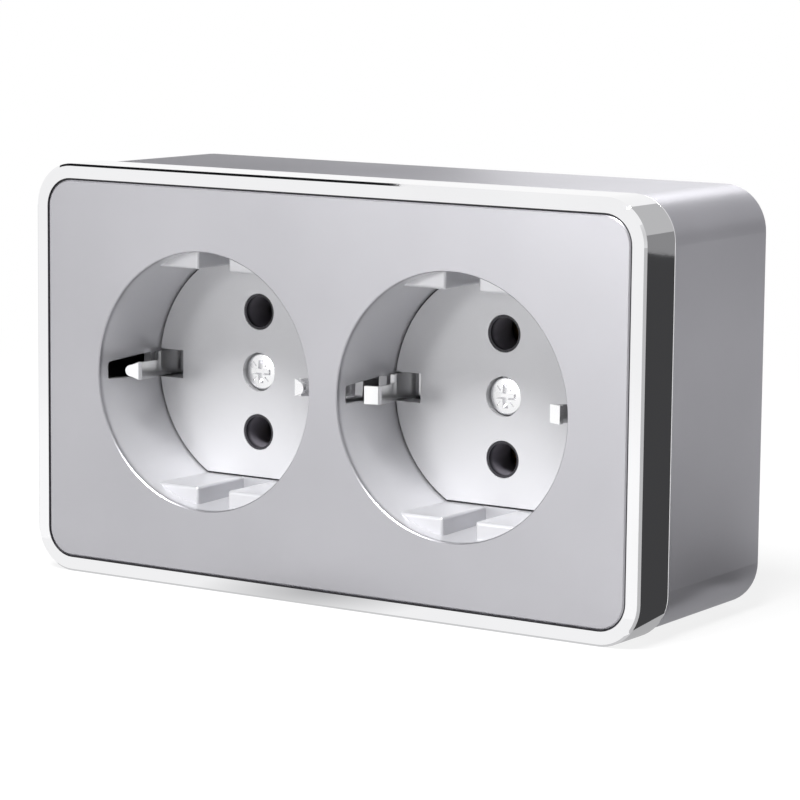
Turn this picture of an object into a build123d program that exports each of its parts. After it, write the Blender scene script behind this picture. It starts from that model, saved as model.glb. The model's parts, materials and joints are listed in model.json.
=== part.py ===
from build123d import *
import math
import os

# Surface-mounted double wall socket, earthed, for two plugs side by side.
# +X is right, +Z is up, the wall is the plane y = 0 and the front faces -Y.
# Depths are written from the front face inwards, so y = depth - DEPTH.

# Whole body
DEPTH = 37.0

# Polished trim frame round the front
FRAME_W = 109.6
FRAME_H = 64.5
FRAME_R = 6.8
FRAME_D = 8.5
FRAME_RIM = 2.25
FRAME_BEVEL = 0.35
FRAME_BACK_BEVEL = 0.2
FRAME_WALL = 1.6
LEDGE_W = 2.6
LEDGE_T = 1.6
FRAME_FLANGE_T = 1.6
LIP_T = 1.2
LIP_D = 2.5

# Front plate with its two wells
PLATE_GAP = 0.3
PLATE_T = 2.0
PLATE_BEVEL = 0.2
WELL_PITCH = 45.0
WELL_R = 19.95
WELL_FLOOR_R = 19.6
WELL_DEPTH = 15.0
WELL_WALL = 1.35
WELL_LEAD = 0.15

# Guide ribs at the top and bottom of each well, and the half-lap to the floor
RIB_CHORD = 16.9
RIB_START = 3.0
RIB_CHANNEL = 5.65
RIB_ROUND = 0.45
LAP_T = 1.5
LAP_W = 1.5
LAP_LIP_T = 1.3

# Tapered slots in the well walls behind the earth clips
SLOT_START = 2.3
SLOT_END = 13.0
SLOT_W_FRONT = 2.7
SLOT_W_BACK = 3.9
SLOT_ROUND = 0.4

# Floor discs
DISC_GAP = 0.3
DISC_T = 3.5
DISC_BOSS_R = 3.9
PIN_PITCH = 19.0
PIN_HOLE_R = 2.85
NOTCH_IN = 14.75
NOTCH_W = 4.5

# Centre screws
SCREW_SINK = 0.5
SCREW_HEAD_R = 2.9
SCREW_HEAD_T = 1.7
SCREW_BORE_R = 3.05
SCREW_R = 1.75
SCREW_REST = 2.6
HEAD_BEVEL = 0.35
DRIVE_W = 0.8
DRIVE_SHARE = 0.78
FIT = 0.05
LOOSE = 0.2

# Earth brackets with their spring clips, whose inner face runs through (distance from axis, depth) points
EARTH_DROP = 1.6
STRAP_T = 0.7
STRAP_W = 4.0
STRAP_BEND = 1.0
CLIP_FOOT = 18.75
CLIP_RISE = 14.4
CLIP_FACE = ((17.72, 12.0), (16.14, 8.0))
CLIP_KNEE = (14.5, 3.75)
CLIP_LIP = (16.96, 2.95)
CLIP_W = 2.7
CLIP_TIP_Z = 0.15
KNEE_ROUND = 0.45
LIP_ROUND_R = 0.92

# Earth bar below the brackets
BAR_W = 6.0
BAR_T = 1.0
BAR_R = 1.0
BAR_OVER = 4.0

# Contact carrier and its back cover
CARRIER_H = 32.0
CARRIER_R = 3.0
COVER_T = 0.8
POCKET_R = 4.6
SLEEVE_SINK = 0.1
PIN_BORE_R = 2.45
PIN_LEAD_D = 2.5
EAR_INSET = 4.5
EAR_REACH = 4.0
EAR_Z = 10.0
EAR_R = 3.4
EAR_T = 3.0

# Contact strips with their tulips
STRIP_T = 0.8
STRIP_W = 7.0
STRIP_R = 1.5
STRIP_END = 4.2
TULIP_T = 0.6
TULIP_ROOT_R = 2.9
TULIP_GRIP_R = 2.3
TULIP_MOUTH_R = 3.1
TULIP_COLLAR = 2.6
TULIP_GAP = 2.6
TULIP_FLARE = 3.2
TULIP_SPLIT = 2.4
TAB_W = 5.2

# Wire terminals
CAGE_W = 8.2
CAGE_H = 7.0
CAGE_D = 7.2
CAGE_T = 1.2
CAGE_SINK = 1.2
CAGE_IN = 16.2
TERM_X = 5.2
TERM_HEAD_R = 2.7
TERM_HEAD_T = 2.0
TERM_LEN = 4.2
LOBE_WALL = 1.6

# Back box
BOX_INSET = 0.3
BOX_R = 7.0
BOX_DRAFT = 0.12
BOX_WALL = 2.0
BOX_BACK_T = 1.8
BOSS_R = 3.5
BOSS_H = 8.2
BOSS_WEB_T = 1.6
BOSS_WEB_STEP = 2.0
CARRIER_SCREW_R = 1.4
CARRIER_HEAD_R = 2.8
CARRIER_HEAD_T = 1.7
CARRIER_SCREW_GRIP = 6.0
PILOT_OVER = 0.8
PAD_R = 2.5
PAD_T = 0.3
PAD_X = 34.0
WALL_SLOT_R = 2.2
WALL_SLOT_LEN = 9.0
WALL_SLOT_X = 34.0
WALL_SLOT_Z = 22.5
CABLE_R = 6.0
CABLE_X = -19.5
CABLE_Z = 22.5

# How far cutters run past a face, and how far joined bodies run into each other
CUT = 1.0
ROOT = 0.5

# Sizes that follow from the ones above
OPEN_W = FRAME_W - 2 * FRAME_RIM
OPEN_H = FRAME_H - 2 * FRAME_RIM
OPEN_R = FRAME_R - FRAME_RIM
LEDGE_BACK = PLATE_T + LEDGE_T
LEDGE_R = OPEN_R - LEDGE_W
PLATE_W = OPEN_W - 2 * PLATE_GAP
PLATE_H = OPEN_H - 2 * PLATE_GAP
PLATE_R = OPEN_R - PLATE_GAP
BOX_W = FRAME_W - 2 * BOX_INSET
BOX_H = FRAME_H - 2 * BOX_INSET
BOX_IN_W = BOX_W - 2 * BOX_WALL
BOX_IN_H = BOX_H - 2 * BOX_WALL
BOX_FLOOR = DEPTH - BOX_BACK_T
LAP_BACK = WELL_DEPTH + LAP_T
WALL_BACK = LAP_BACK + LAP_LIP_T
CARRIER_FRONT = WELL_DEPTH + DISC_T
COVER_BACK = BOX_FLOOR - PAD_T
CARRIER_BACK = COVER_BACK - COVER_T
SCREW_SEAT = WELL_DEPTH + SCREW_SINK + SCREW_HEAD_T
SCREW_TIP = CARRIER_BACK - SCREW_REST
STRAP_FRONT = CARRIER_FRONT + EARTH_DROP
STRAP_BACK = STRAP_FRONT + STRAP_T
BAR_BACK = STRAP_BACK + BAR_T
POCKET_FRONT = CARRIER_FRONT + PIN_LEAD_D
TULIP_FRONT = POCKET_FRONT + TULIP_GAP
TULIP_GRIP = TULIP_FRONT + TULIP_FLARE
STRIP_FRONT = CARRIER_BACK - STRIP_T
CAGE_FRONT = CARRIER_FRONT + CAGE_SINK
CAGE_BACK = CAGE_FRONT + CAGE_D
TONGUE_BACK = CAGE_BACK - CAGE_T
TONGUE_FRONT = TONGUE_BACK - STRIP_T
BOSS_FRONT = BOX_FLOOR - BOSS_H
EAR_FRONT = BOSS_FRONT - EAR_T
EAR_X = BOX_IN_W / 2 - EAR_INSET
CARRIER_W = 2 * (EAR_X - EAR_REACH)
PIN_Z = PIN_PITCH / 2
WELLS = (-WELL_PITCH / 2, WELL_PITCH / 2)
CAGE_Z = CAGE_IN + CAGE_H / 2
LOBE_H = CAGE_IN + CAGE_H + LOOSE
RISER_Z = PIN_Z + STRIP_W / 2 - STRIP_T / 2
CORNERS = ((-1, -1), (-1, 1), (1, -1), (1, 1))


def plane_at(depth):
    """Plane across the body at a depth, facing the front."""
    return Plane(origin=(0, depth - DEPTH, 0), x_dir=(1, 0, 0), z_dir=(0, -1, 0))


def slab(sketch, front, back):
    """Solid of an X-Z outline between two depths."""
    return extrude(plane_at(back) * sketch, amount=back - front)


def rounded(width, height, radius, x=0, z=0):
    """Rounded rectangle about a centre."""
    return Pos(x, z) * RectangleRounded(width, height, radius)


def block(x0, x1, z0, z1, front, back):
    """Straight-sided block between two depths."""
    outline = Pos((x0 + x1) / 2, (z0 + z1) / 2) * Rectangle(abs(x1 - x0), abs(z1 - z0))
    return slab(outline, front, back)


def disc(radius, front, back, x=0, z=0):
    """Round bar along the depth."""
    return slab(Pos(x, z) * Circle(radius), front, back)


def turned(profile, x=0, z=0):
    """Turned solid about the depth axis from (radius, depth) points."""
    points = [(radius, depth - DEPTH) for radius, depth in profile]
    face = make_face(Polyline(*points, close=True))
    return Pos(x, 0, z) * revolve(face, Axis((0, 0, 0), (0, 1, 0)))


def mirrored(solid, x):
    """The same solid mirrored across the middle of a well."""
    return Pos(x, 0, 0) * mirror(Pos(-x, 0, 0) * solid, about=Plane.YZ)


def beyond_chord(radius, chord, x):
    """The two round segments of a circle that lie beyond a chord."""
    circle = Pos(x, 0) * Circle(radius)
    return circle - Pos(x, 0) * Rectangle(4 * radius, 2 * chord)


def near(a, b):
    """Whether two places are the same."""
    return abs(a - b) < 0.01


def edges_at(solid, depth):
    """Edges lying wholly at one depth."""
    found = []
    for edge in solid.edges():
        box = edge.bounding_box()
        if near(box.min.Y, depth - DEPTH) and near(box.max.Y, depth - DEPTH):
            found.append(edge)
    return found


def rib_edges(ribs, x):
    """Edges of the ribs that a plug slides past: at the front and along the channel."""
    found = []
    for edge in ribs.edges():
        box = edge.bounding_box()
        front = near(box.max.Y, RIB_START - DEPTH)
        chord = near(abs(box.min.Z), RIB_CHORD) and near(abs(box.max.Z), RIB_CHORD)
        side = near(abs(box.min.X - x), RIB_CHANNEL / 2) and near(abs(box.max.X - x), RIB_CHANNEL / 2)
        if (front and (chord or side)) or (chord and side):
            found.append(edge)
    return found


def make_frame():
    """Trim frame: bevelled face ring, ledge for the plate, skirt and locating lip."""
    frame = slab(rounded(FRAME_W, FRAME_H, FRAME_R), 0, FRAME_D)
    frame = chamfer(edges_at(frame, 0), FRAME_BEVEL)
    frame = chamfer(edges_at(frame, FRAME_D), FRAME_BACK_BEVEL)
    frame -= slab(rounded(OPEN_W, OPEN_H, OPEN_R), -CUT, PLATE_T)
    frame -= slab(rounded(OPEN_W - 2 * LEDGE_W, OPEN_H - 2 * LEDGE_W, LEDGE_R), 0, LEDGE_BACK)
    inner = rounded(FRAME_W - 2 * FRAME_WALL, FRAME_H - 2 * FRAME_WALL, FRAME_R - FRAME_WALL)
    frame -= slab(inner, LEDGE_BACK, FRAME_D - FRAME_FLANGE_T)
    lip_w = BOX_IN_W - 2 * LOOSE
    lip_h = BOX_IN_H - 2 * LOOSE
    lip_r = BOX_R - BOX_WALL - LOOSE
    lip_hole = rounded(lip_w - 2 * LIP_T, lip_h - 2 * LIP_T, lip_r - LIP_T)
    frame += slab(rounded(lip_w, lip_h, lip_r), FRAME_D, FRAME_D + LIP_D)
    frame -= slab(lip_hole, FRAME_D - FRAME_FLANGE_T, FRAME_D + LIP_D)
    return frame


def wall_slot(x):
    """Cutter for the tapered slot through the left wall of a well."""
    front = SLOT_START - DEPTH
    back = SLOT_END - DEPTH
    narrow = SLOT_W_FRONT / 2
    wide = SLOT_W_BACK / 2
    points = [(front, -narrow), (back, -wide), (back, wide), (front, narrow)]
    face = make_face(Polyline(*points, close=True))
    face = fillet(face.vertices(), SLOT_ROUND)
    cutter = extrude(Plane.YZ * face, amount=WELL_WALL + 2 * CUT)
    return Pos(x - WELL_R - WELL_WALL - CUT, 0, 0) * cutter


def make_plate():
    """Front plate: flat face with two tapered wells, guide ribs and half-lap lips."""
    plate = slab(rounded(PLATE_W, PLATE_H, PLATE_R), 0, PLATE_T)
    plate = chamfer(edges_at(plate, 0), PLATE_BEVEL)
    core_r = WELL_R + WELL_WALL / 2
    for x in WELLS:
        outer = [(0, PLATE_T / 2), (WELL_R + WELL_WALL, PLATE_T / 2),
                 (WELL_FLOOR_R + WELL_WALL, WALL_BACK), (0, WALL_BACK)]
        plate += turned(outer, x)
    for x in WELLS:
        mouth = WELL_R + WELL_LEAD
        bore = [(0, -CUT), (mouth, -CUT), (mouth, 0), (WELL_R, WELL_LEAD), (WELL_FLOOR_R, WELL_DEPTH),
                (WELL_FLOOR_R, WALL_BACK + CUT), (0, WALL_BACK + CUT)]
        plate -= turned(bore, x)
    for x in WELLS:
        ends = beyond_chord(core_r, RIB_CHORD, x)
        ribs = ends - Pos(x, 0) * Rectangle(RIB_CHANNEL, 4 * core_r)
        ribs = slab(ribs, RIB_START, WELL_DEPTH)
        plate += fillet(rib_edges(ribs, x), RIB_ROUND)
        plate += slab(ends, WELL_DEPTH, LAP_BACK)
        plate += slab(beyond_chord(core_r, RIB_CHORD - LAP_W, x), LAP_BACK, WALL_BACK)
        plate -= wall_slot(x)
        plate -= mirrored(wall_slot(x), x)
    return plate


def make_floor(x):
    """Floor disc of one well: lapped chords, pin holes, clip notches, screw seat and boss."""
    radius = WELL_FLOOR_R - DISC_GAP
    circle = Pos(x, 0) * Circle(radius)
    face = circle & Pos(x, 0) * Rectangle(4 * radius, 2 * (RIB_CHORD - DISC_GAP))
    foot = circle & Pos(x, 0) * Rectangle(4 * radius, 2 * (RIB_CHORD - LAP_W - DISC_GAP))
    floor = slab(face, WELL_DEPTH, LAP_BACK) + slab(foot, LAP_BACK, CARRIER_FRONT)
    front = WELL_DEPTH - CUT
    back = CARRIER_FRONT + CUT
    for side in (-1, 1):
        floor -= disc(PIN_HOLE_R, front, back, x, side * PIN_Z)
        inner = x + side * NOTCH_IN
        outer = x + side * (radius + CUT)
        floor -= block(inner, outer, -NOTCH_W / 2, NOTCH_W / 2, front, back)
    floor += disc(DISC_BOSS_R, CARRIER_FRONT - ROOT, STRAP_FRONT, x)
    floor -= disc(SCREW_BORE_R, front, SCREW_SEAT, x)
    return floor - disc(SCREW_R + LOOSE, front, STRAP_FRONT + CUT, x)


def screw(head_r, head_t, shank_r, length, front, x, z, cross):
    """Pan-head screw with a slotted or crossed head, driven along the depth."""
    seat = front + head_t
    tip = seat + length
    point = shank_r / 2
    profile = [(0, front), (head_r - HEAD_BEVEL, front), (head_r, front + HEAD_BEVEL), (head_r, seat),
               (shank_r, seat), (shank_r, tip - point), (point, tip), (0, tip)]
    solid = turned(profile, x, z)
    reach = head_r * DRIVE_SHARE
    half = DRIVE_W / 2
    bottom = front + head_t / 2
    solid -= block(x - reach, x + reach, z - half, z + half, front - CUT, bottom)
    if cross:
        solid -= block(x - half, x + half, z - reach, z + reach, front - CUT, bottom)
    return solid


def along(start, end, length):
    """Point a length away from one point towards another."""
    share = length / math.dist(start, end)
    return tuple(a + share * (b - a) for a, b in zip(start, end))


def strap_face():
    """Inner face of half an earth bracket as (distance from axis, depth) points."""
    points = [(-CUT, STRAP_FRONT)]
    for degrees in (0, 30, 60, 90):
        angle = math.radians(degrees)
        out = STRAP_BEND * (1 - math.sin(angle))
        rise = STRAP_BEND * (1 - math.cos(angle))
        points.append((CLIP_FOOT - out, STRAP_FRONT - rise))
    points.append((CLIP_FOOT, CLIP_RISE))
    points += list(CLIP_FACE)
    points.append(along(CLIP_KNEE, CLIP_FACE[-1], KNEE_ROUND))
    points.append(along(CLIP_KNEE, CLIP_LIP, KNEE_ROUND))
    points.append(CLIP_LIP)
    return points


def thicken(points, thickness):
    """Closed outline of a bent strip of even thickness behind its inner face."""
    behind = []
    last = len(points) - 1
    for index, (u, d) in enumerate(points):
        u0, d0 = points[max(index - 1, 0)]
        u1, d1 = points[min(index + 1, last)]
        before = math.atan2(d - d0, u - u0) if index else math.atan2(d1 - d, u1 - u)
        after = math.atan2(d1 - d, u1 - u) if index < last else before
        turn = (after - before + math.pi) % (2 * math.pi) - math.pi
        angle = before + turn / 2
        reach = thickness / math.cos(turn / 2)
        behind.append((u - reach * math.sin(angle), d + reach * math.cos(angle)))
    return points + behind[::-1]


def tongue_mask():
    """Side outline of half a bracket: wide foot and slanted tongue."""
    front = -DEPTH
    knee = CLIP_KNEE[1] - DEPTH
    shoulder = SLOT_END - DEPTH
    back = BAR_BACK - DEPTH
    foot = STRAP_W / 2
    low = CLIP_TIP_Z - CLIP_W / 2
    high = CLIP_TIP_Z + CLIP_W / 2
    points = [(back, -foot), (shoulder, -foot), (knee, low), (front, low), (front, high), (knee, high),
              (shoulder, CLIP_W - foot), (shoulder, foot), (back, foot)]
    return Plane.YZ * make_face(Polyline(*points, close=True))


def lip_cutter():
    """Cutter that leaves a tapered round lip at the left clip of a bracket."""
    knee = -CLIP_KNEE[0] - KNEE_ROUND
    centre = LIP_ROUND_R - CLIP_LIP[0]
    low = CLIP_TIP_Z - CLIP_W / 2
    high = CLIP_TIP_Z + CLIP_W / 2
    side = LIP_ROUND_R
    taper = [(knee, low), (knee, high), (centre, CLIP_TIP_Z + side), (centre, CLIP_TIP_Z - side)]
    lip = make_face(Polyline(*taper, close=True)) + Pos(centre, CLIP_TIP_Z) * Circle(side)
    reach = CLIP_LIP[0] + CUT + knee
    blank = Pos(knee - reach / 2, CLIP_TIP_Z) * Rectangle(reach, CLIP_W + 2 * CUT)
    return slab(blank - lip, 0, CLIP_KNEE[1] + STRAP_T)


def make_bracket(x, round_lips):
    """Earth bracket: a base strap with a spring clip bent up at each side of the well."""
    outline = [(-u, d - DEPTH) for u, d in thicken(strap_face(), STRAP_T)]
    strip = extrude(make_face(Polyline(*outline, close=True)), amount=STRAP_W, both=True)
    reach = CLIP_FOOT + STRAP_T + CUT
    half = strip & Pos(-reach, 0, 0) * extrude(tongue_mask(), amount=reach + CUT)
    if round_lips:
        half -= lip_cutter()
    bracket = Pos(x, 0, 0) * (half + mirror(half, about=Plane.YZ))
    return bracket - disc(SCREW_R + FIT, STRAP_FRONT - CUT, STRAP_BACK + CUT, x)


def make_earth_bar():
    """Bar that joins both brackets, with the earth tongue folded back to its terminal."""
    half = WELL_PITCH / 2 + BAR_OVER
    bar = slab(rounded(2 * half, BAR_W, BAR_R), STRAP_BACK, BAR_BACK)
    for x in WELLS:
        bar -= disc(SCREW_R + FIT, STRAP_BACK - CUT, BAR_BACK + CUT, x)
    left = -TERM_X - TAB_W / 2
    right = -TERM_X + TAB_W / 2
    top = -RISER_Z + STRIP_T / 2
    low = -RISER_Z - STRIP_T / 2
    bar += block(left, right, low, 0, STRAP_BACK, BAR_BACK)
    bar += block(left, right, low, top, STRAP_BACK, TONGUE_BACK)
    bar += block(left, right, -CAGE_IN - CAGE_H, top, TONGUE_FRONT, TONGUE_BACK)
    return bar


def make_strip(side, term_x):
    """Contact strip of one pole: bar, two slit tulips and the tongue to its terminal."""
    z = side * PIN_Z
    half = WELL_PITCH / 2 + STRIP_END
    strip = slab(rounded(2 * half, STRIP_W, STRIP_R, 0, z), STRIP_FRONT, CARRIER_BACK)
    collar = STRIP_FRONT - TULIP_COLLAR
    slit = TULIP_SPLIT / 2
    wide = TULIP_MOUTH_R + TULIP_T + CUT
    for x in WELLS:
        strip -= disc(TULIP_ROOT_R, STRIP_FRONT - CUT, CARRIER_BACK + CUT, x, z)
        profile = [(TULIP_ROOT_R, CARRIER_BACK), (TULIP_ROOT_R, collar), (TULIP_GRIP_R, TULIP_GRIP),
                   (TULIP_MOUTH_R, TULIP_FRONT)]
        outer = [(r + TULIP_T, d) for r, d in reversed(profile)]
        tulip = turned(profile + outer, x, z)
        strip += tulip - block(x - slit, x + slit, z - wide, z + wide, TULIP_FRONT - CUT, collar)
    left = term_x - TAB_W / 2
    right = term_x + TAB_W / 2
    inner = side * (RISER_Z - STRIP_T / 2)
    outer = side * (RISER_Z + STRIP_T / 2)
    strip += block(left, right, inner, outer, TONGUE_FRONT, CARRIER_BACK)
    strip += block(left, right, inner, side * (CAGE_IN + CAGE_H), TONGUE_FRONT, TONGUE_BACK)
    return strip


def make_cage(x, side):
    """Terminal cage: a short tube open up and down, tapped in front for its screw."""
    half = CAGE_W / 2
    inner = half - CAGE_T
    roof = CAGE_FRONT + CAGE_T
    cage = block(x - half, x + half, side * CAGE_IN, side * (CAGE_IN + CAGE_H), CAGE_FRONT, CAGE_BACK)
    cage -= block(x - inner, x + inner, side * (CAGE_IN - CUT), side * (CAGE_IN + CAGE_H + CUT),
                  roof, TONGUE_BACK)
    return cage - disc(SCREW_R + FIT, CAGE_FRONT - CUT, roof + ROOT, x, side * CAGE_Z)


def make_carrier():
    """Black contact carrier: pin sleeves, pockets, channels, terminal lobes and fixing ears."""
    front = CARRIER_FRONT - CUT
    back = CARRIER_BACK + CUT
    body = slab(rounded(CARRIER_W, CARRIER_H, CARRIER_R), CARRIER_FRONT, CARRIER_BACK)
    lobes = ((0, 1), (TERM_X, -1), (-TERM_X, -1))
    for x, side in lobes:
        half = CAGE_W / 2 + LOOSE + LOBE_WALL
        body += block(x - half, x + half, 0, side * LOBE_H, CARRIER_FRONT, CAGE_BACK + LOBE_WALL)
    for sx, sz in CORNERS:
        x = sx * EAR_X
        z = sz * EAR_Z
        root = EAR_REACH + ROOT
        ear = Pos(x, z) * Circle(EAR_R) + Pos(x - sx * root / 2, z) * Rectangle(root, 2 * EAR_R)
        body += slab(ear, EAR_FRONT, BOSS_FRONT)
        body -= disc(CARRIER_SCREW_R + LOOSE, EAR_FRONT - CUT, BOSS_FRONT + CUT, x, z)
    tab = TAB_W / 2 + LOOSE
    low = RISER_Z - STRIP_T / 2 - LOOSE
    high = RISER_Z + STRIP_T / 2 + LOOSE
    for x, side in lobes:
        half = CAGE_W / 2 + LOOSE
        body -= block(x - half, x + half, side * (CAGE_IN - LOOSE), side * (LOBE_H + CUT), front, CAGE_BACK)
        body -= block(x - tab, x + tab, side * low, side * CAGE_Z, TONGUE_FRONT - LOOSE, TONGUE_BACK)
    for x, side in ((0, 1), (TERM_X, -1)):
        body -= block(x - tab, x + tab, side * low, side * high, TONGUE_FRONT - LOOSE, back)
    body -= block(-TERM_X - tab, -TERM_X + tab, -high, 0, front, BAR_BACK)
    body -= block(-TERM_X - tab, -TERM_X + tab, -high, -low, front, TONGUE_BACK)
    bar = WELL_PITCH / 2 + BAR_OVER + LOOSE
    body -= slab(rounded(2 * bar, BAR_W + 2 * LOOSE, BAR_R), front, BAR_BACK)
    strap = WELL_PITCH / 2 + CLIP_FOOT + STRAP_T + LOOSE
    body -= block(-strap, strap, -STRAP_W / 2 - LOOSE, STRAP_W / 2 + LOOSE, front, STRAP_BACK)
    strip = WELL_PITCH / 2 + STRIP_END + LOOSE
    for side in (-1, 1):
        z = side * PIN_Z
        channel = rounded(2 * strip, STRIP_W + 2 * LOOSE, STRIP_R, 0, z)
        body -= slab(channel, STRIP_FRONT - LOOSE, back)
        for x in WELLS:
            body += disc(PIN_HOLE_R - FIT, WELL_DEPTH + SLEEVE_SINK, CARRIER_FRONT + ROOT, x, z)
            body -= disc(PIN_BORE_R, WELL_DEPTH, POCKET_FRONT + CUT, x, z)
            body -= disc(POCKET_R, POCKET_FRONT, back, x, z)
    for x in WELLS:
        body -= disc(DISC_BOSS_R + LOOSE, front, STRAP_FRONT, x)
        body -= disc(SCREW_R + FIT, front, SCREW_TIP + CUT, x)
    return body


def make_cover():
    """Cover closing the back of the carrier."""
    return slab(rounded(CARRIER_W, CARRIER_H, CARRIER_R), CARRIER_BACK, COVER_BACK)


def make_box():
    """Back box: drafted shell with bosses, pads, wall-screw slots and a cable entry."""
    d = BOX_DRAFT
    r = BOX_R - BOX_WALL
    front = plane_at(FRAME_D) * rounded(BOX_W, BOX_H, BOX_R)
    back = plane_at(DEPTH) * rounded(BOX_W - 2 * d, BOX_H - 2 * d, BOX_R - d)
    hollow_front = plane_at(FRAME_D) * rounded(BOX_IN_W, BOX_IN_H, r)
    hollow_back = plane_at(BOX_FLOOR) * rounded(BOX_IN_W - 2 * d, BOX_IN_H - 2 * d, r - d)
    box = loft([front, back]) - loft([hollow_front, hollow_back])
    root = BOX_FLOOR + ROOT
    web = BOSS_WEB_T / 2
    pilot = BOSS_FRONT + CARRIER_SCREW_GRIP + PILOT_OVER
    for sx, sz in CORNERS:
        x = sx * EAR_X
        z = sz * EAR_Z
        boss = disc(BOSS_R, BOSS_FRONT, root, x, z)
        boss += block(x, sx * (BOX_IN_W / 2 + ROOT), z - web, z + web, BOSS_FRONT + BOSS_WEB_STEP, root)
        box += boss - disc(CARRIER_SCREW_R + FIT, BOSS_FRONT - CUT, pilot, x, z)
        box += disc(PAD_R, COVER_BACK, root, sx * PAD_X, z)
        slot = Pos(sx * WALL_SLOT_X, sz * WALL_SLOT_Z) * SlotOverall(WALL_SLOT_LEN, 2 * WALL_SLOT_R)
        box -= slab(slot, BOX_FLOOR - CUT, DEPTH + CUT)
    return box - disc(CABLE_R, BOX_FLOOR - CUT, DEPTH + CUT, CABLE_X, CABLE_Z)


def main():
    """Build every piece and write one file for each."""
    pieces = {"back_box": make_box(), "trim_frame": make_frame(), "front_plate": make_plate()}
    pieces["contact_carrier"] = make_carrier()
    pieces["carrier_cover"] = make_cover()
    pieces["live_strip"] = make_strip(1, 0)
    pieces["neutral_strip"] = make_strip(-1, TERM_X)
    pieces["earth_bar"] = make_earth_bar()
    for name, x in zip(("left", "right"), WELLS):
        pieces["floor_" + name] = make_floor(x)
        pieces["earth_bracket_" + name] = make_bracket(x, x < 0)
        pieces["centre_screw_" + name] = screw(SCREW_HEAD_R, SCREW_HEAD_T, SCREW_R, SCREW_TIP - SCREW_SEAT,
                                               WELL_DEPTH + SCREW_SINK, x, 0, True)
    for name, x, side in (("live", 0, 1), ("neutral", TERM_X, -1), ("earth", -TERM_X, -1)):
        pieces["terminal_cage_" + name] = make_cage(x, side)
        pieces["terminal_screw_" + name] = screw(TERM_HEAD_R, TERM_HEAD_T, SCREW_R, TERM_LEN,
                                                 CAGE_FRONT - TERM_HEAD_T, x, side * CAGE_Z, False)
    for high, sz in (("upper", 1), ("lower", -1)):
        for name, sx in (("left", -1), ("right", 1)):
            pieces["carrier_screw_" + high + "_" + name] = screw(
                CARRIER_HEAD_R, CARRIER_HEAD_T, CARRIER_SCREW_R, EAR_T + CARRIER_SCREW_GRIP,
                EAR_FRONT - CARRIER_HEAD_T, sx * EAR_X, sz * EAR_Z, True)
    os.makedirs("parts", exist_ok=True)
    for name, piece in pieces.items():
        export_step(piece, "parts/" + name + ".step")


main()
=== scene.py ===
import json
import logging
import math
from dataclasses import dataclass, field
from enum import Enum

import bmesh
import bpy
from mathutils import Matrix, Vector


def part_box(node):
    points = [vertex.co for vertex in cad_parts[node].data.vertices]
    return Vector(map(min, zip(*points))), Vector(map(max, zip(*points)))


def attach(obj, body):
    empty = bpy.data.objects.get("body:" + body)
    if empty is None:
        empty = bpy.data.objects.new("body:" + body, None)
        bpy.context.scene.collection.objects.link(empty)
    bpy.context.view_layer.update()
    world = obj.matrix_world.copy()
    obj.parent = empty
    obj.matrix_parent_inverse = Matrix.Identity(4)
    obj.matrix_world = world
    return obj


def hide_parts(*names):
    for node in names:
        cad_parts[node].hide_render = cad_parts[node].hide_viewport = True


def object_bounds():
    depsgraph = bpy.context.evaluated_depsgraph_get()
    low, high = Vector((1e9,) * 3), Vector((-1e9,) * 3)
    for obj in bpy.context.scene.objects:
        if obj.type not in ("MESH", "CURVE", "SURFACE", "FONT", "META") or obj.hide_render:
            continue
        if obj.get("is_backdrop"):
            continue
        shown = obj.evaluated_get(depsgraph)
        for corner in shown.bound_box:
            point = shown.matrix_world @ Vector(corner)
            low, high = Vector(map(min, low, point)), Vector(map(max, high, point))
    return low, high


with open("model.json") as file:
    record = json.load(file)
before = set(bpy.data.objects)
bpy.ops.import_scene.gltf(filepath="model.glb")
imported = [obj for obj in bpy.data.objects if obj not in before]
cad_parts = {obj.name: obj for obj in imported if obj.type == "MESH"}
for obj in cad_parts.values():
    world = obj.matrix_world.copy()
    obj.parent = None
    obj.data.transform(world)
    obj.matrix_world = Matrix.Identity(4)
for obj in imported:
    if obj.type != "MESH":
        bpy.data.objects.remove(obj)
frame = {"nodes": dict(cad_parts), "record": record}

Colour = tuple[float, float, float]
Point = tuple[float, float, float]
FlatPoint = tuple[float, float]
Outline = tuple[FlatPoint, ...]

# The sizes of the pieces and the camera are in millimetres, those of the lights, cards and floor in metres.
MM = 0.001
MICRON = 0.000001
FRONT_TO_WALL = 37.0
WHITE: Colour = (1.0, 1.0, 1.0)
LOG = logging.getLogger("double_socket")


class Slot(Enum):
    """Material slots of the record that the pieces take their finish from."""

    SHELL = "silver_shell"
    PLATE = "silver_plate"
    TRIM = "chrome_trim"
    CARRIER = "black_carrier"
    CONTACT = "brass_contact"
    SPRING = "plated_spring"
    SCREW = "plated_screw"
    CAGE = "steel_cage"


class Variant(Enum):
    """Variants of a finish within one slot."""

    PLAIN = ""
    # Painted light: a lighter copy of the plate finish for the well floors, standing in for the brighter
    # light there; it is also less metallic.
    WELL_FLOOR_PAINTED_LIGHT = "_floor"


class Effect(Enum):
    """Shader node groups that several finishes share."""

    GRAIN = "moulded_grain"
    HANDLING = "handling_marks"


class Side(Enum):
    """The two wells, by the sign of their place along the width."""

    LEFT = -1
    RIGHT = 1

    @property
    def label(self) -> str:
        """Name of the side in lower case."""
        return self.name.lower()


def opaque(colour: Colour) -> tuple[float, float, float, float]:
    """Colour with full cover, as shader sockets take it."""
    return (*colour, 1.0)


def link(tree: bpy.types.NodeTree, source: bpy.types.NodeSocket, target: bpy.types.NodeSocket) -> None:
    """Join two sockets of a node tree."""
    tree.links.new(source, target)


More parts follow.
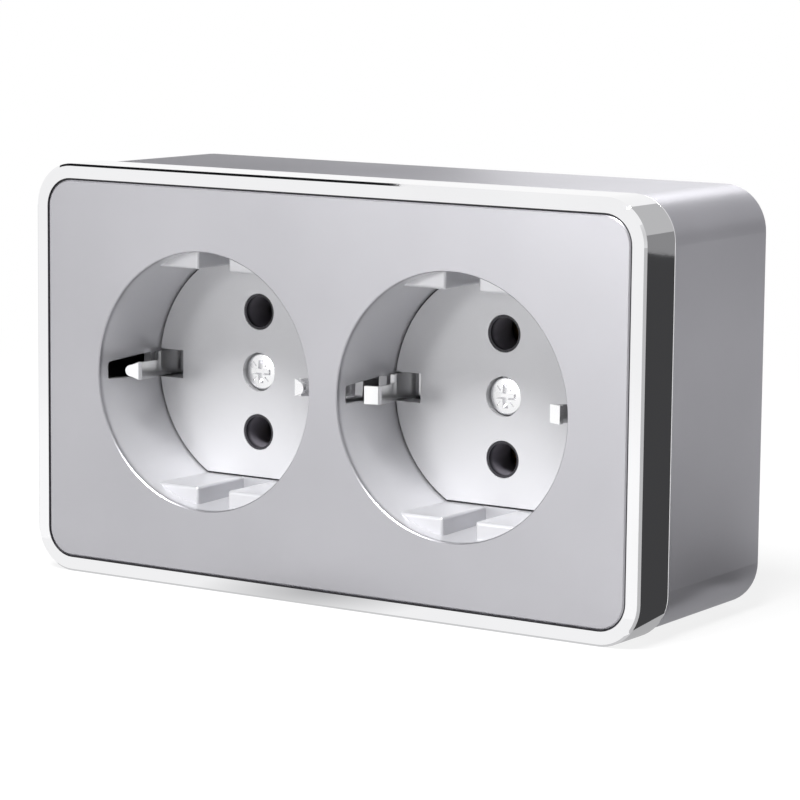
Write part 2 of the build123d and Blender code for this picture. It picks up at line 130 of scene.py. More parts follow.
def add_node(tree: bpy.types.NodeTree, kind: str, inputs: dict[str | int, object] | None = None,
             **settings: object) -> bpy.types.Node:
    """Add a node, set its plain properties and then its sockets.

    Args:
        tree: Node tree that receives the node.
        kind: Blender type name of the node.
        inputs: Values of input sockets, by name or number.
        **settings: Properties to set on the new node.

    Returns:
        The new node.
    """
    node = tree.nodes.new(kind)
    for name, value in settings.items():
        setattr(node, name, value)
    for socket, value in (inputs or {}).items():
        node.inputs[socket].default_value = value
    return node


@dataclass
class SharedEffects:
    """Builds each shared shader group once and hands it to the finishes."""

    groups: dict[Effect, bpy.types.NodeTree] = field(default_factory=dict)
    grain_detail: float = 3.0
    grain_coarseness: float = 0.6
    cloud_scale: float = 45.0
    cloud_detail: float = 2.0
    cloud_share: float = 0.6
    spread_low: float = 0.30
    spread_high: float = 1.20
    mark_detail: float = 4.0
    mark_distortion: float = 0.4
    mark_low: float = 0.5
    mark_high: float = 0.75

    def build(self) -> None:
        """Build every shared group."""
        self.groups[Effect.GRAIN] = self._grain()
        self.groups[Effect.HANDLING] = self._handling()

    def place(self, tree: bpy.types.NodeTree, effect: Effect, **values: float | Point) -> bpy.types.Node:
        """Place a shared group in a material and give its inputs their values."""
        return add_node(tree, "ShaderNodeGroup", values, node_tree=self.groups[effect])

    def _grain(self) -> bpy.types.NodeTree:
        """Build the fine grain of a moulded, painted or plated surface.

        Returns:
            A group that puts out a roughness, a bump height and a tint mask.
        """
        group = bpy.data.node_groups.new(Effect.GRAIN.value, "ShaderNodeTree")
        face = group.interface
        for name in ("Scale", "Smooth", "Rough"):
            face.new_socket(name=name, in_out="INPUT", socket_type="NodeSocketFloat")
        for name in ("Roughness", "Height", "Tint"):
            face.new_socket(name=name, in_out="OUTPUT", socket_type="NodeSocketFloat")
        inlet = add_node(group, "NodeGroupInput")
        outlet = add_node(group, "NodeGroupOutput")
        place = add_node(group, "ShaderNodeTexCoord")
        fine = add_node(group, "ShaderNodeTexNoise",
                        {"Detail": self.grain_detail, "Roughness": self.grain_coarseness},
                        noise_dimensions="3D")
        cloud = add_node(group, "ShaderNodeTexNoise",
                         {"Scale": self.cloud_scale, "Detail": self.cloud_detail},
                         noise_dimensions="3D")
        blend = add_node(group, "ShaderNodeMath", {1: self.cloud_share}, operation="MULTIPLY_ADD")
        spread = add_node(group, "ShaderNodeMapRange",
                          {"From Min": self.spread_low, "From Max": self.spread_high})
        link(group, place.outputs["Object"], fine.inputs["Vector"])
        link(group, place.outputs["Object"], cloud.inputs["Vector"])
        link(group, inlet.outputs["Scale"], fine.inputs["Scale"])
        link(group, cloud.outputs["Fac"], blend.inputs[0])
        link(group, fine.outputs["Fac"], blend.inputs[2])
        link(group, blend.outputs["Value"], spread.inputs["Value"])
        link(group, inlet.outputs["Smooth"], spread.inputs["To Min"])
        link(group, inlet.outputs["Rough"], spread.inputs["To Max"])
        link(group, spread.outputs["Result"], outlet.inputs["Roughness"])
        link(group, fine.outputs["Fac"], outlet.inputs["Height"])
        link(group, cloud.outputs["Fac"], outlet.inputs["Tint"])
        return group

    def _handling(self) -> bpy.types.NodeTree:
        """Build faint wiping marks, drawn out along one direction.

        Returns:
            A group that puts out a mask of the marks.
        """
        group = bpy.data.node_groups.new(Effect.HANDLING.value, "ShaderNodeTree")
        face = group.interface
        face.new_socket(name="Scale", in_out="INPUT", socket_type="NodeSocketFloat")
        face.new_socket(name="Stretch", in_out="INPUT", socket_type="NodeSocketVector")
        face.new_socket(name="Mask", in_out="OUTPUT", socket_type="NodeSocketFloat")
        inlet = add_node(group, "NodeGroupInput")
        outlet = add_node(group, "NodeGroupOutput")
        place = add_node(group, "ShaderNodeTexCoord")
        draw = add_node(group, "ShaderNodeVectorMath", operation="MULTIPLY")
        marks = add_node(group, "ShaderNodeTexNoise",
                         {"Detail": self.mark_detail, "Distortion": self.mark_distortion},
                         noise_dimensions="3D")
        sharpen = add_node(group, "ShaderNodeMapRange",
                           {"From Min": self.mark_low, "From Max": self.mark_high},
                           interpolation_type="SMOOTHSTEP")
        link(group, place.outputs["Object"], draw.inputs[0])
        link(group, inlet.outputs["Stretch"], draw.inputs[1])
        link(group, draw.outputs["Vector"], marks.inputs["Vector"])
        link(group, inlet.outputs["Scale"], marks.inputs["Scale"])
        link(group, marks.outputs["Fac"], sharpen.inputs["Value"])
        link(group, sharpen.outputs["Result"], outlet.inputs["Mask"])
        return group


@dataclass(frozen=True)
class InnerPaintedLight:
    """Painted light: lighter colour that a finish takes on behind the front face, standing in for the
    brighter light inside the wells and bores.
    """

    dark: Colour
    light: Colour
    metallic: float
    start: float
    end: float

    def build(self, tree: bpy.types.NodeTree, shader: bpy.types.Node, tone: bpy.types.Node,
              tint: bpy.types.NodeSocket, metallic: float) -> None:
        """Blend the painted light into a material by the depth behind the front.

        Args:
            tree: Node tree of the material.
            shader: Shader that receives colour and metallic share.
            tone: Mix node with the tone of the front.
            tint: Mask that moves between dark and light.
            metallic: Metallic share of the front.
        """
        place = add_node(tree, "ShaderNodeTexCoord")
        axes = add_node(tree, "ShaderNodeSeparateXYZ")
        near = (self.start - FRONT_TO_WALL) * MM
        far = (self.end - FRONT_TO_WALL) * MM
        depth = add_node(tree, "ShaderNodeMapRange", {"From Min": near, "From Max": far},
                         interpolation_type="SMOOTHSTEP")
        inner = add_node(tree, "ShaderNodeMix", data_type="RGBA")
        inner.inputs["A"].default_value = opaque(self.dark)
        inner.inputs["B"].default_value = opaque(self.light)
        both = add_node(tree, "ShaderNodeMix", data_type="RGBA")
        share = add_node(tree, "ShaderNodeMapRange", {"To Min": metallic, "To Max": self.metallic})
        link(tree, place.outputs["Object"], axes.inputs["Vector"])
        link(tree, axes.outputs["Y"], depth.inputs["Value"])
        link(tree, tint, inner.inputs["Factor"])
        link(tree, depth.outputs["Result"], both.inputs["Factor"])
        link(tree, tone.outputs["Result"], both.inputs["A"])
        link(tree, inner.outputs["Result"], both.inputs["B"])
        link(tree, depth.outputs["Result"], share.inputs["Value"])
        link(tree, both.outputs["Result"], shader.inputs["Base Color"])
        link(tree, share.outputs["Result"], shader.inputs["Metallic"])


@dataclass(frozen=True)
class Finish:
    """Finish of one material slot, built from the shared effects."""

    slot: Slot
    dark: Colour
    light: Colour
    metallic: float
    smooth: float
    rough: float
    grain_scale: float
    grain_depth: float
    mark_scale: float = 60.0
    mark_stretch: Point = (1.0, 1.0, 1.0)
    wipe_strength: float = 0.12
    wipe_least: float = 0.1
    specular: float = 0.5
    # Painted light: optional lighter colour behind the front face, standing in for the brighter light
    # inside the wells and bores.
    inner: InnerPaintedLight | None = None
    variant: Variant = Variant.PLAIN

    def build(self, effects: SharedEffects) -> bpy.types.Material:
        """Build the material.

        Args:
            effects: Shared shader groups.

        Returns:
            The finished material.
        """
        material = bpy.data.materials.new(self.slot.value + self.variant.value)
        material.use_nodes = True
        tree = material.node_tree
        shader = tree.nodes["Principled BSDF"]
        shader.inputs["Metallic"].default_value = self.metallic
        shader.inputs["Specular IOR Level"].default_value = self.specular
        grain = effects.place(tree, Effect.GRAIN, Scale=self.grain_scale, Smooth=self.smooth,
                              Rough=self.rough)
        marks = effects.place(tree, Effect.HANDLING, Scale=self.mark_scale, Stretch=self.mark_stretch)
        tone = add_node(tree, "ShaderNodeMix", data_type="RGBA")
        tone.inputs["A"].default_value = opaque(self.dark)
        tone.inputs["B"].default_value = opaque(self.light)
        wipe = self.wipe_strength * (self.rough - self.smooth + self.wipe_least)
        wiped = add_node(tree, "ShaderNodeMath", {1: wipe}, operation="MULTIPLY_ADD")
        relief = add_node(tree, "ShaderNodeBump", {"Strength": 1.0, "Distance": self.grain_depth})
        link(tree, grain.outputs["Tint"], tone.inputs["Factor"])
        link(tree, tone.outputs["Result"], shader.inputs["Base Color"])
        link(tree, marks.outputs["Mask"], wiped.inputs[0])
        link(tree, grain.outputs["Roughness"], wiped.inputs[2])
        link(tree, wiped.outputs["Value"], shader.inputs["Roughness"])
        link(tree, grain.outputs["Height"], relief.inputs["Height"])
        link(tree, relief.outputs["Normal"], shader.inputs["Normal"])
        # Blend in the painted light behind the front face.
        if self.inner:
            self.inner.build(tree, shader, tone, grain.outputs["Tint"], self.metallic)
        return material


# Painted light: the black carrier turns lighter deep behind the front, standing in for the grey shading and
# reflection seen inside the pin holes.
BORE_PAINTED_LIGHT = InnerPaintedLight(
    dark=(0.150, 0.142, 0.165), light=(0.190, 0.180, 0.205), metallic=0.0, start=15.3, end=16.3)
# Painted light: the well walls take a lighter, less metallic colour than the plate front, standing in for
# the brighter light inside the wells.
WELL_PAINTED_LIGHT = InnerPaintedLight(
    dark=(0.50, 0.50, 0.52), light=(0.55, 0.55, 0.57), metallic=0.50, start=0.35, end=1.2)

FINISHES: tuple[Finish, ...] = (
    Finish(
        Slot.SHELL, dark=(0.45, 0.445, 0.48), light=(0.50, 0.495, 0.53), metallic=0.97,
        smooth=0.34, rough=0.42, grain_scale=2600.0, grain_depth=2 * MICRON),
    Finish(
        Slot.PLATE, dark=(0.355, 0.352, 0.373), light=(0.405, 0.401, 0.424), metallic=0.84,
        smooth=0.29, rough=0.32, grain_scale=2600.0, grain_depth=2 * MICRON, inner=WELL_PAINTED_LIGHT),
    # Painted light: lighter, less metallic copy of the plate finish for the well floors, standing in for
    # the brighter light there.
    Finish(
        Slot.PLATE, dark=(0.47, 0.47, 0.485), light=(0.52, 0.52, 0.535), metallic=0.12,
        smooth=0.32, rough=0.42, grain_scale=2600.0, grain_depth=2 * MICRON, specular=0.3,
        variant=Variant.WELL_FLOOR_PAINTED_LIGHT),
    Finish(
        Slot.TRIM, dark=(0.84, 0.84, 0.85), light=(0.90, 0.90, 0.91), metallic=1.0,
        smooth=0.015, rough=0.035, grain_scale=1500.0, grain_depth=0.5 * MICRON),
    Finish(
        Slot.CARRIER, dark=(0.016, 0.015, 0.019), light=(0.024, 0.022, 0.028), metallic=0.0,
        smooth=0.35, rough=0.5, grain_scale=1800.0, grain_depth=6 * MICRON, specular=0.3,
        inner=BORE_PAINTED_LIGHT),
    Finish(
        Slot.CONTACT, dark=(0.62, 0.43, 0.15), light=(0.74, 0.54, 0.22), metallic=1.0,
        smooth=0.20, rough=0.34, grain_scale=900.0, grain_depth=3 * MICRON),
    Finish(
        Slot.SPRING, dark=(0.80, 0.80, 0.81), light=(0.90, 0.90, 0.91), metallic=0.85,
        smooth=0.16, rough=0.21, grain_scale=1200.0, grain_depth=MICRON),
    Finish(
        Slot.SCREW, dark=(0.78, 0.78, 0.79), light=(0.88, 0.88, 0.89), metallic=1.0,
        smooth=0.12, rough=0.22, grain_scale=1400.0, grain_depth=3 * MICRON),
    Finish(
        Slot.CAGE, dark=(0.56, 0.56, 0.57), light=(0.64, 0.64, 0.65), metallic=1.0,
        smooth=0.24, rough=0.38, grain_scale=1000.0, grain_depth=3 * MICRON),
)


@dataclass
class FinishShop:
    """Builds every finish once and hands it out by slot."""

    effects: SharedEffects
    materials: dict[tuple[Slot, Variant], bpy.types.Material] = field(default_factory=dict)

    def build(self) -> None:
        """Build one material for each finish."""
        for finish in FINISHES:
            self.materials[finish.slot, finish.variant] = finish.build(self.effects)

    def dress(self, piece: bpy.types.Object, slot: Slot, variant: Variant = Variant.PLAIN) -> None:
        """Give a piece the material of a slot."""
        piece.data.materials.clear()
        piece.data.materials.append(self.materials[slot, variant])


@dataclass
class SolidSet:
    """The solids that stay as they were constructed and only get their finish."""

    slots: dict[str, Slot]

    def dress(self, shop: FinishShop) -> None:
        """Give each solid its finish.

        Args:
            shop: Source of the finished materials.
        """
        for node, slot in self.slots.items():
            # The well floors take the lighter floor copy of the plate finish, which is painted light.
            variant = Variant.WELL_FLOOR_PAINTED_LIGHT if node.startswith("floor_") else Variant.PLAIN
            shop.dress(frame["nodes"][node], slot, variant)
            LOG.info("dressed %s in %s", node, slot.value + variant.value)


def finish_mesh(name: str, form: bmesh.types.BMesh, crease: float) -> bpy.types.Object:
    """Turn an edited mesh into a smooth-shaded object of the scene.

    Args:
        name: Name of the new object.
        form: Mesh under edit, which is freed.
        crease: Angle in degrees above which an edge stays sharp.

    Returns:
        The new object.
    """
    bmesh.ops.recalc_face_normals(form, faces=form.faces)
    mesh = bpy.data.meshes.new(name)
    form.to_mesh(mesh)
    form.free()
    mesh.shade_smooth()
    mesh.set_sharp_from_angle(angle=math.radians(crease))
    piece = bpy.data.objects.new(name, mesh)
    bpy.context.scene.collection.objects.link(piece)
    return piece


def skin(form: bmesh.types.BMesh, rings: list[list[Point]], closed: bool) -> None:
    """Join rows of points by faces; each row is a closed ring.

    Args:
        form: Mesh under edit.
        rings: Rows of points with the same number of points each.
        closed: True where the last row joins the first one, otherwise both ends get a cap.
    """
    rows = [[form.verts.new(point) for point in ring] for ring in rings]
    count = len(rows[0])
    next_rows = rows[1:] + rows[:1] if closed else rows[1:]
    for near, far in zip(rows, next_rows):
        for here in range(count):
            there = (here + 1) % count
            form.faces.new((near[here], near[there], far[there], far[here]))
    if not closed:
        form.faces.new(rows[0])
        form.faces.new(rows[-1])


def front_point(x: float, depth: float, z: float) -> Point:
    """Point in metres from millimetres across, behind the front and up."""
    return (x * MM, (depth - FRONT_TO_WALL) * MM, z * MM)


def rounded_outline(width: float, height: float, corner: float, steps: int) -> Outline:
    """Rectangle with round corners, anticlockwise from the right.

    Args:
        width: Size across.
        height: Size up.
        corner: Radius of the corners.
        steps: Number of steps in each corner.

    Returns:
        Points across and up.
    """
    points = []
    for quarter in range(4):
        sign_x = 1 if quarter in (0, 3) else -1
        sign_z = 1 if quarter in (0, 1) else -1
        x = sign_x * (width / 2 - corner)
        z = sign_z * (height / 2 - corner)
        for step in range(steps + 1):
            turn = math.pi / 2 * (quarter + step / steps)
            points.append((x + corner * math.cos(turn), z + corner * math.sin(turn)))
    return tuple(points)


@dataclass(frozen=True)
class ThinStrip:
    """Thin strip that follows a line across the front with one section all along."""

    name: str
    slot: Slot
    path: Outline
    section: Outline
    closed: bool = False
    crease: float = 50.0

    def build(self, shop: FinishShop) -> bpy.types.Object:
        """Sweep the section along the line and dress the strip.

        Args:
            shop: Source of the finished materials.

        Returns:
            The strip.
        """
        form = bmesh.new()
        count = len(self.path)
        rings: list[list[Point]] = []
        for index, (x, z) in enumerate(self.path):
            before = index - 1 if self.closed else max(index - 1, 0)
            after = (index + 1) % count if self.closed else min(index + 1, count - 1)
            run_x = self.path[after][0] - self.path[before][0]
            run_z = self.path[after][1] - self.path[before][1]
            length = math.hypot(run_x, run_z)
            out_x = run_z / length
            out_z = -run_x / length
            ring = [front_point(x + out_x * off, depth, z + out_z * off) for off, depth in self.section]
            rings.append(ring)
        skin(form, rings, self.closed)
        strip = finish_mesh(self.name, form, self.crease)
        shop.dress(strip, self.slot)
        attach(strip, "root")
        LOG.info("built %s", self.name)
        return strip


@dataclass(frozen=True)
class FrontGapShades:
    """Painted shade: black strips set into the joints of the front, one round the plate and two round each
    floor, standing in for the shade inside the gaps.
    """

    plate_width: float = 104.8
    plate_height: float = 59.7
    plate_corner: float = 4.4
    plate_front: float = 0.3
    plate_back: float = 1.9
    floor_radius: float = 19.45
    floor_chord: float = 16.75
    floor_front: float = 15.25
    floor_back: float = 16.4
    clip_room: float = 2.3
    pitch: float = 45.0
    width: float = 0.26
    crown: float = 0.08
    corner_steps: int = 10
    arc_steps: int = 24

    def build(self, shop: FinishShop) -> None:
        """Build and dress every strip.

        Args:
            shop: Source of the finished materials.
        """
        outline = rounded_outline(self.plate_width, self.plate_height, self.plate_corner, self.corner_steps)
        section = self._section(self.plate_front, self.plate_back)
        # Painted shade: black strip in the gap round the plate.
        ThinStrip("plate_gap_shade", Slot.CARRIER, outline, section, closed=True).build(shop)
        section = self._section(self.floor_front, self.floor_back)
        # Painted shade: black strips in the gaps round each floor.
        for side in Side:
            for half, up in (("upper", 1), ("lower", -1)):
                name = f"floor_seal_{side.label}_{half}"
                ThinStrip(name, Slot.CARRIER, self._floor_path(side, up), section).build(shop)

    def _section(self, front: float, back: float) -> Outline:
        """Section of a strip with a crowned front edge.

        Args:
            front: Depth of the crown.
            back: Depth of the flat back.

        Returns:
            Points off the line and behind the front.
        """
        half = self.width / 2
        shoulder = front + self.crown
        left = ((-half, back), (-half, shoulder), (-half / 2, front))
        right = ((half / 2, front), (half, shoulder), (half, back))
        return left + right

    def _floor_path(self, side: Side, up: int) -> Outline:
        """Upper or lower outline of a floor, from clip to clip.

        Args:
            side: Which well.
            up: 1 for the upper half and -1 for the lower one.

        Returns:
            Points across and up.
        """
        low = math.asin(self.clip_room / self.floor_radius)
        high = math.asin(self.floor_chord / self.floor_radius)
        right = []
        for step in range(self.arc_steps + 1):
            turn = low + (high - low) * step / self.arc_steps
            right.append((self.floor_radius * math.cos(turn), up * self.floor_radius * math.sin(turn)))
        left = [(-x, z) for x, z in reversed(right)]
        middle = side.value * self.pitch / 2
        return tuple((middle + x, z) for x, z in right + left)


@dataclass(frozen=True)
class FrameBead:
    """Fine bright bead along the back edge of the trim frame, where the box begins."""

    inset: float = 0.14
    depth: float = 8.58
    radius: float = 0.09
    corner: float = 6.66
    section_steps: int = 10
    corner_steps: int = 16

    def build(self, shop: FinishShop) -> None:
        """Sweep the bead round the frame and dress it.

        Args:
            shop: Source of the finished materials.
        """
        low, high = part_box("trim_frame")
        width = (high[0] - low[0]) / MM - 2 * self.inset
        height = (high[2] - low[2]) / MM - 2 * self.inset
        outline = rounded_outline(width, height, self.corner, self.corner_steps)
        section = []
        for step in range(self.section_steps):
            turn = math.tau * step / self.section_steps
            section.append((self.radius * math.cos(turn), self.depth + self.radius * math.sin(turn)))
        ThinStrip("frame_bead", Slot.TRIM, outline, tuple(section), closed=True).build(shop)


@dataclass(frozen=True)
class Groove:
    """Straight groove with sloping sides and ends in the head of a screw."""

    turn: float
    start: float
    stop: float
    width: float
    sink: float
    narrow: float
    over: float = 0.5
    crease: float = 30.0

    def cutter(self, centre: FlatPoint, front: float) -> bpy.types.Object:
        """Make the tapered bar that cuts the groove.

        Args:
            centre: Place of the screw's axis across and up.
            front: Depth of the head's highest point.

        Returns:
            The bar.
        """
        middle = (self.start + self.stop) / 2
        reach = (self.stop - self.start) / 2
        angle = math.radians(self.turn)
        top = (1.0 + self.over * (1.0 - self.narrow), front - self.sink * self.over)
        bottom = (self.narrow, front + self.sink)
        rings = []
        for share, depth in (top, bottom):
            ring = []
            for along, across in ((-1, -1), (1, -1), (1, 1), (-1, 1)):
                u = middle + along * reach * share
                v = across * self.width / 2 * share
                x = centre[0] + u * math.cos(angle) - v * math.sin(angle)
                z = centre[1] + u * math.sin(angle) + v * math.cos(angle)
                ring.append(front_point(x, depth, z))
            rings.append(ring)
        form = bmesh.new()
        skin(form, rings, closed=False)
        return finish_mesh("groove", form, self.crease)


@dataclass(frozen=True)
class CentreScrew:
    """Cross-slotted screw in the middle of a well, with a low domed head and a cut thread."""

    side: Side
    dome: float = 0.22
    dome_steps: int = 8
    shoulder: float = 0.30
    shoulder_drop: float = 0.35
    shoulder_steps: int = 5
    head_height: float = 1.7
    shank_radius: float = 1.72
    thread_depth: float = 0.24
    thread_rows: int = 6
    pitch: float = 0.8
    point: float = 1.2
    point_share: float = 0.6
    segments: int = 48
    crease: float = 32.0
    slot_length: float = 1.95
    slot_width: float = 0.95
    slot_depth: float = 0.6
    slot_narrow: float = 0.6
    slot_turns: tuple[float, ...] = (0.0, 90.0)
    mark_from: float = 1.15
    mark_to: float = 2.15
    mark_width: float = 0.22
    mark_depth: float = 0.3
    mark_narrow: float = 0.8
    mark_turns: tuple[float, ...] = (45.0, 135.0, 225.0, 315.0)

    @property
    def node(self) -> str:
        """Name of the solid that the screw stands for."""
        return f"centre_screw_{self.side.label}"

    def build(self, shop: FinishShop) -> bpy.types.Object:
        """Turn the screw, cut its slots and dress it.

        Args:
            shop: Source of the finished materials.

        Returns:
            The screw.
        """
        low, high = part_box(self.node)
        centre = ((low[0] + high[0]) / 2 / MM, (low[2] + high[2]) / 2 / MM)
        front = low[1] / MM + FRONT_TO_WALL
        tip = high[1] / MM + FRONT_TO_WALL
        radius = (high[0] - low[0]) / 2 / MM
        form = bmesh.new()
        skin(form, self._rings(centre, front, tip, radius), closed=False)
        screw = finish_mesh(f"slotted_screw_{self.side.label}", form, self.crease)
        self._cut(screw, centre, front)
        shop.dress(screw, Slot.SCREW)
        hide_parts(self.node)
        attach(screw, "root")
        LOG.info("built %s", screw.name)
        return screw

    def _rings(self, centre: FlatPoint, front: float, tip: float, radius: float) -> list[list[Point]]:
        """Rows of points from the middle of the head to the tip.

        Args:
            centre: Place of the axis across and up.
            front: Depth of the head's highest point.
            tip: Depth of the tip.
            radius: Radius of the head.

        Returns:
            One ring of points for each row.
        """
        crown = radius - self.shoulder
        profile = []
        for step in range(1, self.dome_steps + 1):
            share = step / self.dome_steps
            profile.append((crown * share, front + self.dome * share ** 2))
        for step in range(1, self.shoulder_steps + 1):
            turn = math.pi / 2 * step / self.shoulder_steps
            drop = self.shoulder_drop * (1 - math.cos(turn))
            profile.append((crown + self.shoulder * math.sin(turn), front + self.dome + drop))
        seat = front + self.head_height
        profile += [(radius, seat), (self.shank_radius, seat)]
        rings = [self._ring(centre, [size] * self.segments, depth) for size, depth in profile]
        rows = int((tip - seat) / self.pitch * self.thread_rows)
        for row in range(1, rows + 1):
            depth = seat + (tip - seat) * row / rows
            taper = min(1.0, (tip - depth) / self.point * (1.0 - self.point_share) + self.point_share)
            sizes = [self._thread(depth, turn) * taper for turn in range(self.segments)]
            rings.append(self._ring(centre, sizes, depth))
        return rings

    def _thread(self, depth: float, turn: int) -> float:
        """Radius of the thread at a depth and a step round the axis."""
        phase = (depth / self.pitch - turn / self.segments) % 1.0
        return self.shank_radius - self.thread_depth * abs(2.0 * phase - 1.0)

    def _ring(self, centre: FlatPoint, sizes: list[float], depth: float) -> list[Point]:
        """Ring of points round the axis with a radius for each step.

        Args:
            centre: Place of the axis across and up.
            sizes: Radius at each step.
            depth: Depth of the ring.

        Returns:
            The points of the ring.
        """
        ring = []
        for index, size in enumerate(sizes):
            turn = math.tau / self.segments * index
            x = centre[0] + size * math.cos(turn)
            z = centre[1] + size * math.sin(turn)
            ring.append(front_point(x, depth, z))
        return ring

    def _grooves(self) -> list[Groove]:
        """The cross and the four short marks of the head.

        Returns:
            One groove for each cut.
        """
        slots = [Groove(turn, start=-self.slot_length, stop=self.slot_length, width=self.slot_width,
                        sink=self.slot_depth, narrow=self.slot_narrow)
                 for turn in self.slot_turns]
        marks = [Groove(turn, start=self.mark_from, stop=self.mark_to, width=self.mark_width,
                        sink=self.mark_depth, narrow=self.mark_narrow)
                 for turn in self.mark_turns]
        return slots + marks

    def _cut(self, screw: bpy.types.Object, centre: FlatPoint, front: float) -> None:
        """Cut the grooves into the head.

        Args:
            screw: Turned screw.
            centre: Place of the axis across and up.
            front: Depth of the head's highest point.
        """
        cutters = [groove.cutter(centre, front) for groove in self._grooves()]
        for cutter in cutters:
            cut = screw.modifiers.new(cutter.name, "BOOLEAN")
            cut.operation = "DIFFERENCE"
            cut.solver = "EXACT"
            cut.object = cutter
        view = bpy.context.evaluated_depsgraph_get()
        cut_mesh = bpy.data.meshes.new_from_object(screw.evaluated_get(view))
        screw.modifiers.clear()
        screw.data = cut_mesh
        cut_mesh.set_sharp_from_angle(angle=math.radians(self.crease))
        for cutter in cutters:
            bpy.data.objects.remove(cutter)


@dataclass(frozen=True)
class ViewCamera:
    """Camera at the photograph's viewing angle; lengths in millimetres."""

    azimuth: float = 33.332
    elevation: float = 8.166
    roll: float = 0.568
    distance: float = 511.064
    across: float = -11.602
    up: float = 0.735
    focal_px: float = 3422.215
    image_px: float = 800.0
    sensor: float = 36.0
    nearest: float = 10.0

    def build(self) -> bpy.types.Object:
        """Create the camera and make it the active one.

        Returns:
            The camera object.
        """
        azimuth, elevation, roll = (math.radians(v) for v in (self.azimuth, self.elevation, self.roll))
        level = math.cos(elevation)
        ahead = Vector((-math.sin(azimuth) * level, math.cos(azimuth) * level, -math.sin(elevation)))
        right = Vector((math.cos(azimuth), math.sin(azimuth), 0.0))
        above = right.cross(ahead)
        row_x = math.cos(roll) * right + math.sin(roll) * above
        row_y = math.cos(roll) * above - math.sin(roll) * right
        place = -(self.across * row_x + self.up * row_y + self.distance * ahead)
        place += Vector((0.0, -FRONT_TO_WALL, 0.0))
        data = bpy.data.cameras.new("view_camera")
        data.sensor_width = self.sensor
        data.lens = self.focal_px * self.sensor / self.image_px
        data.clip_start = self.nearest * MM
        camera = bpy.data.objects.new("view_camera", data)
        turn = Matrix((row_x, row_y, -ahead)).transposed().to_4x4()
        turn.translation = place * MM
        camera.matrix_world = turn
        bpy.context.scene.collection.objects.link(camera)
        bpy.context.scene.camera = camera
        return camera


@dataclass(frozen=True)
class Softbox:
    """One rectangular studio light."""

    name: str
    place: Point
    aim: Point
    width: float
    height: float
    power: float

    def build(self) -> bpy.types.Object:
        """Create the light and turn it towards its aim.

        Returns:
            The light object.
        """
        data = bpy.data.lights.new(self.name, "AREA")
        data.shape = "RECTANGLE"
        data.size = self.width
        data.size_y = self.height
        data.energy = self.power
        light = bpy.data.objects.new(self.name, data)
        light.location = self.place
        ahead = Vector(self.aim) - Vector(self.place)
        light.rotation_euler = ahead.to_track_quat("-Z", "Y").to_euler()
        bpy.context.scene.collection.objects.link(light)
        return light


@dataclass(frozen=True)
class SoftSpot:
    """Spot on a card that fades from a colour of its own into the card's."""

    colour: Colour
    centre: Point
    reach: float

    def build(self, tree: bpy.types.NodeTree, glow: bpy.types.Node, colour: Colour) -> None:
        """Blend the spot into the glow of a card.

        Args:
            tree: Node tree of the card's material.
            glow: Emission node of the card.
            colour: Colour of the card round the spot.
        """
        place = add_node(tree, "ShaderNodeTexCoord")
        away = add_node(tree, "ShaderNodeVectorMath", {1: self.centre}, operation="DISTANCE")
        fade = add_node(tree, "ShaderNodeMapRange", {"From Max": self.reach})
        blend = add_node(tree, "ShaderNodeMix", data_type="RGBA")
        blend.inputs["A"].default_value = opaque(self.colour)
        blend.inputs["B"].default_value = opaque(colour)
        link(tree, place.outputs["Object"], away.inputs[0])
        link(tree, away.outputs["Value"], fade.inputs["Value"])
        link(tree, fade.outputs["Result"], blend.inputs["Factor"])
        link(tree, blend.outputs["Result"], glow.inputs["Color"])


@dataclass(frozen=True)
class ShadeCard:
    """A plain studio card that only reflections see."""

    name: str
    corners: tuple[Point, ...]
    colour: Colour
    spot: SoftSpot | None = None

    @classmethod
    def strip(cls, name: str, start: FlatPoint, stop: FlatPoint, widths: FlatPoint, level: float,
              colour: Colour, spot: SoftSpot | None = None) -> "ShadeCard":
        """Strip that lies flat along a line.

        Args:
            name: Name of the card.
            start: Start of its middle line.
            stop: End of its middle line.
            widths: Width at the start and at the end.
            level: Height of the strip.
            colour: Colour that reflections show.
            spot: Soft spot in another colour.

        Returns:
            The card.
        """
        run = Vector((stop[0] - start[0], stop[1] - start[1], 0.0)).normalized()
        off = Vector((-run.y, run.x, 0.0)) / 2
        first = Vector((*start, level))
        last = Vector((*stop, level))
        near = (first + off * widths[0], first - off * widths[0])
        far = (last - off * widths[1], last + off * widths[1])
        return cls(name, tuple(tuple(corner) for corner in near + far), colour, spot)

    @classmethod
    def flat(cls, name: str, outline: Outline, level: float, colour: Colour) -> "ShadeCard":
        """Card that lies flat at one height, with an outline of its own."""
        return cls(name, tuple((*corner, level) for corner in outline), colour)

    @classmethod
    def standing(cls, name: str, start: FlatPoint, stop: FlatPoint, low: FlatPoint, high: float,
                 colour: Colour, spot: SoftSpot | None = None) -> "ShadeCard":
        """Card that stands upright over a line, with the height of its lower edge at both ends."""
        corners = ((*start, low[0]), (*stop, low[1]), (*stop, high), (*start, high))
        return cls(name, corners, colour, spot)

    def build(self) -> bpy.types.Object:
        """Create the card as part of the stage.

        Returns:
            The card object.
        """
        mesh = bpy.data.meshes.new(self.name)
        mesh.from_pydata(self.corners, [], [tuple(range(len(self.corners)))])
        card = bpy.data.objects.new(self.name, mesh)
        card.visible_camera = False
        card.visible_diffuse = False
        card.visible_shadow = False
        material = bpy.data.materials.new(self.name)
        material.use_nodes = True
        tree = material.node_tree
        tree.nodes.remove(tree.nodes["Principled BSDF"])
        glow = add_node(tree, "ShaderNodeEmission", {"Color": opaque(self.colour)})
        if self.spot:
            self.spot.build(tree, glow, self.colour)
        link(tree, glow.outputs["Emission"], tree.nodes["Material Output"].inputs["Surface"])
        mesh.materials.append(material)
        bpy.context.scene.collection.objects.link(card)
        card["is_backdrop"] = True
        return card


